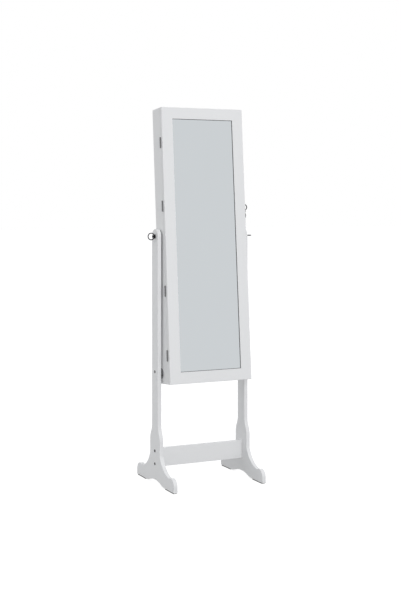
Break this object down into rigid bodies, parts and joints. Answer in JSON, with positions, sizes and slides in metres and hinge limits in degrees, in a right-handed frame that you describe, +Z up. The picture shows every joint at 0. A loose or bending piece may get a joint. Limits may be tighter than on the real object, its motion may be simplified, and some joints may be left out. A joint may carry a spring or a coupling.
{
  "type": "jewelry mirror cabinet",
  "caption": "Free-standing white jewelry cabinet behind a full-length mirror door, hung between the posts of a stand with arched feet so that it tilts, with a key lock.",
  "frame": {"origin": "on the floor, midway between the side frames, straight below the tilt axis", "axes": "+Z up, the mirror faces -Y, +X to the right of someone who stands behind the mirror's face looking along +Y"},
  "size_m": [0.452, 0.3614, 1.4638],
  "materials": {
    "white_lacquer": "satin white lacquer on board",
    "velvet": "charcoal velvet lining",
    "mirror": "silvered mirror glass",
    "backing_board": "hardboard",
    "dark_steel": "blackened steel",
    "dark_chrome": "dark chrome",
    "nickel": "polished nickel",
    "white_plastic": "matte white plastic",
    "dark_rubber": "soft dark rubber"
  },
  "bodies": {
    "stand": {"side_frame_left": "white_lacquer", "side_frame_right": "white_lacquer", "cross_rail": "white_lacquer", "rail_bolts": "dark_steel", "foot_pads": "dark_rubber", "stay_bolts": "dark_steel", "stay_nuts": "dark_steel", "pivot_spacers": "dark_steel"},
    "left_screw": {"pivot_screw_left": "dark_chrome", "pull_ring_left": "dark_chrome"},
    "right_screw": {"pivot_screw_right": "dark_chrome", "pull_ring_right": "dark_chrome"},
    "cabinet": {"case_side_left": "white_lacquer", "case_side_right": "white_lacquer", "case_top": "white_lacquer", "case_bottom": "white_lacquer", "case_back": "white_lacquer", "back_lining": "velvet", "side_linings": "velvet", "pivot_bushes": "dark_steel", "stay_plates": "dark_steel", "hinge_case_leaves": "nickel", "magnet_catches": "white_plastic", "lock_barrel": "nickel", "lock_nut": "nickel", "shelf_lower": "velvet", "shelf_middle": "velvet", "shelf_upper": "velvet", "shelf_guards": "velvet", "ring_panel": "velvet", "ring_rolls": "velvet", "necklace_bar": "velvet", "necklace_hooks": "nickel", "bracelet_rod": "nickel", "rod_buttons": "nickel"},
    "door": {"door_stile_left": "white_lacquer", "door_stile_right": "white_lacquer", "door_rail_top": "white_lacquer", "door_rail_bottom": "white_lacquer", "mirror_glass": "mirror", "mirror_backing": "backing_board", "door_lining": "velvet", "hinge_door_leaves": "nickel", "strike_plates": "nickel", "lock_keeper": "nickel", "door_bumpers": "dark_rubber", "earring_strips": "velvet", "strip_blocks": "velvet"},
    "lock": {"lock_plug": "nickel", "lock_cam": "nickel"},
    "key_in_lock": {"key": "dark_chrome"},
    "spare_on_link": {"key_ring": "dark_chrome", "spare_key": "dark_chrome"}
  },
  "joints": [
    {"name": "tilt", "type": "hinge", "parent": "stand", "child": "cabinet", "pos_m": [0, 0, 0.961], "axis": [-1, 0, 0], "range_deg": [0, 5.5]},
    {"name": "door_hinge", "type": "hinge", "parent": "cabinet", "child": "door", "pos_m": [-0.1777, -0.03987, 0.96423], "axis": [0, -0.0807, -0.9967], "range_deg": [0, 110]},
    {"name": "lock_turn", "type": "hinge", "parent": "cabinet", "child": "lock", "pos_m": [0.175, -0.00591, 1.07384], "axis": [-1, 0, 0], "range_deg": [0, 90]},
    {"name": "key_slide", "type": "slide", "parent": "lock", "child": "key_in_lock", "axis": [1, 0, 0], "range_m": [0, 0.025]},
    {"name": "spare_hang", "type": "hinge", "parent": "key_in_lock", "child": "spare_on_link", "pos_m": [0.1925, -0.00679, 1.06298], "axis": [-1, 0, 0], "range_deg": [-90, 0]},
    {"name": "left_screw_turn", "type": "hinge", "parent": "stand", "child": "left_screw", "pos_m": [-0.2, 0, 0.961], "axis": [1, 0, 0], "continuous": true},
    {"name": "right_screw_turn", "type": "hinge", "parent": "stand", "child": "right_screw", "pos_m": [0.2, 0, 0.961], "axis": [1, 0, 0], "continuous": true}
  ],
  "couplings": [
    {"joint": "spare_hang", "follows": "lock_turn", "ratio": -1}
  ]
}
